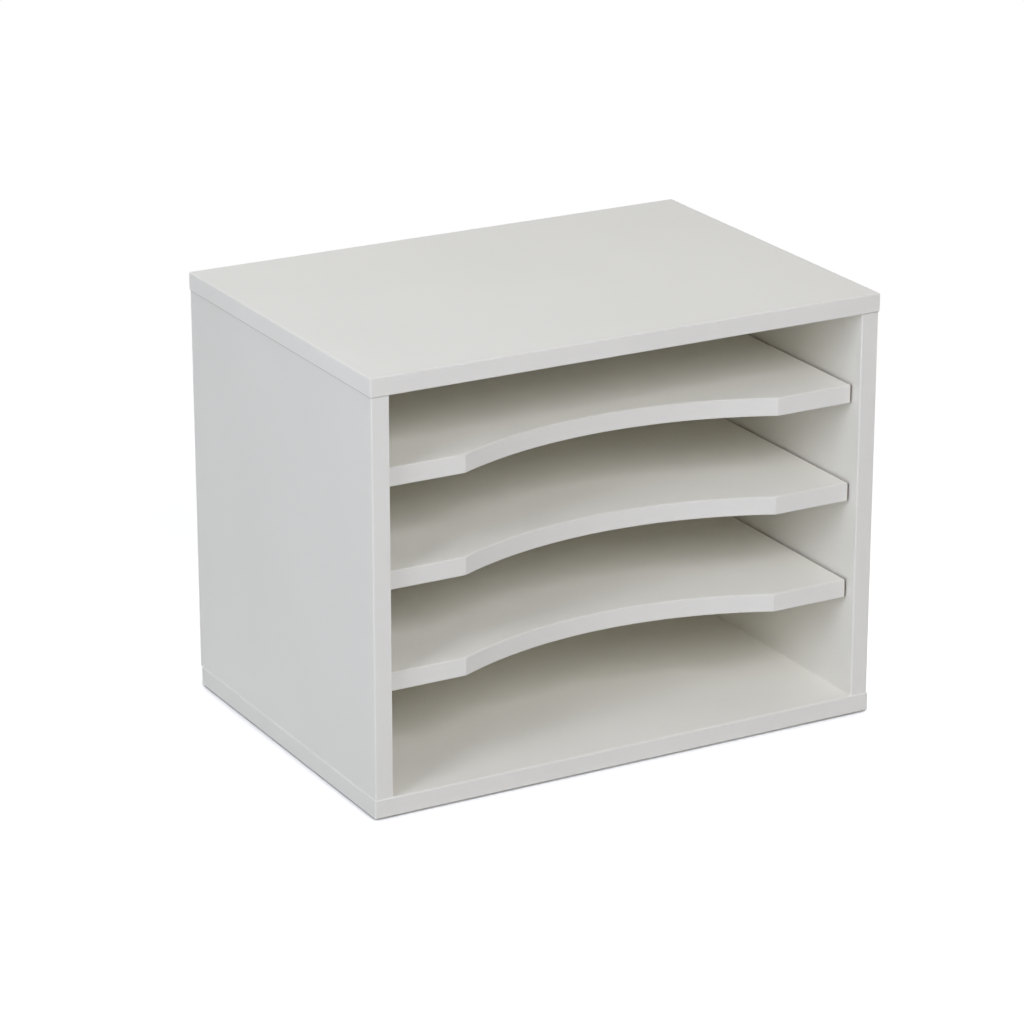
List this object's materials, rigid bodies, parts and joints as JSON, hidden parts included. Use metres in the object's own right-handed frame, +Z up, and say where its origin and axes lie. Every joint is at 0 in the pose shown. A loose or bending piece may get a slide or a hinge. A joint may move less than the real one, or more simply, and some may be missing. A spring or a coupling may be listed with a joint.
{
  "type": "document sorter",
  "caption": "Open-fronted white desk sorter: a box of thin boards with loose shelves, arched at the front, that keep papers in flat compartments.",
  "frame": {"origin": "on the surface that it stands on, under the middle of its box", "axes": "+X across the front to the right, +Y from the open front to the back, +Z up"},
  "size_m": [0.355, 0.25, 0.28],
  "materials": {
    "white_board": "matte white foil on fibreboard",
    "white_hardboard": "white lacquered hardboard",
    "nickel_support": "nickel plated",
    "zinc_screw": "zinc plated",
    "beech_dowel": "plain beech",
    "dark_pad": "matte foam rubber"
  },
  "bodies": {
    "carcass": {"back_panel": "white_hardboard", "back_screws": "zinc_screw", "base_panel": "white_board", "front_left_foot_pad": "dark_pad", "front_right_foot_pad": "dark_pad", "left_base_screws": "zinc_screw", "left_side_panel": "white_board", "left_top_dowel_1": "beech_dowel", "left_top_dowel_2": "beech_dowel", "left_top_dowel_3": "beech_dowel", "lower_shelf_support_front_left": "nickel_support", "lower_shelf_support_front_right": "nickel_support", "lower_shelf_support_rear_left": "nickel_support", "lower_shelf_support_rear_right": "nickel_support", "middle_shelf_support_front_left": "nickel_support", "middle_shelf_support_front_right": "nickel_support", "middle_shelf_support_rear_left": "nickel_support", "middle_shelf_support_rear_right": "nickel_support", "rear_left_foot_pad": "dark_pad", "rear_right_foot_pad": "dark_pad", "right_base_screws": "zinc_screw", "right_side_panel": "white_board", "right_top_dowel_1": "beech_dowel", "right_top_dowel_2": "beech_dowel", "right_top_dowel_3": "beech_dowel", "top_panel": "white_board", "upper_shelf_support_front_left": "nickel_support", "upper_shelf_support_front_right": "nickel_support", "upper_shelf_support_rear_left": "nickel_support", "upper_shelf_support_rear_right": "nickel_support"},
    "upper_shelf": {"upper_shelf": "white_board"},
    "middle_shelf": {"middle_shelf": "white_board"},
    "lower_shelf": {"lower_shelf": "white_board"}
  },
  "joints": [
    {"name": "upper_shelf_slide", "type": "slide", "parent": "carcass", "child": "upper_shelf", "axis": [0, -1, 0], "range_m": [0, 0.25]},
    {"name": "middle_shelf_slide", "type": "slide", "parent": "carcass", "child": "middle_shelf", "axis": [0, -1, 0], "range_m": [0, 0.25]},
    {"name": "lower_shelf_slide", "type": "slide", "parent": "carcass", "child": "lower_shelf", "axis": [0, -1, 0], "range_m": [0, 0.25]}
  ]
}
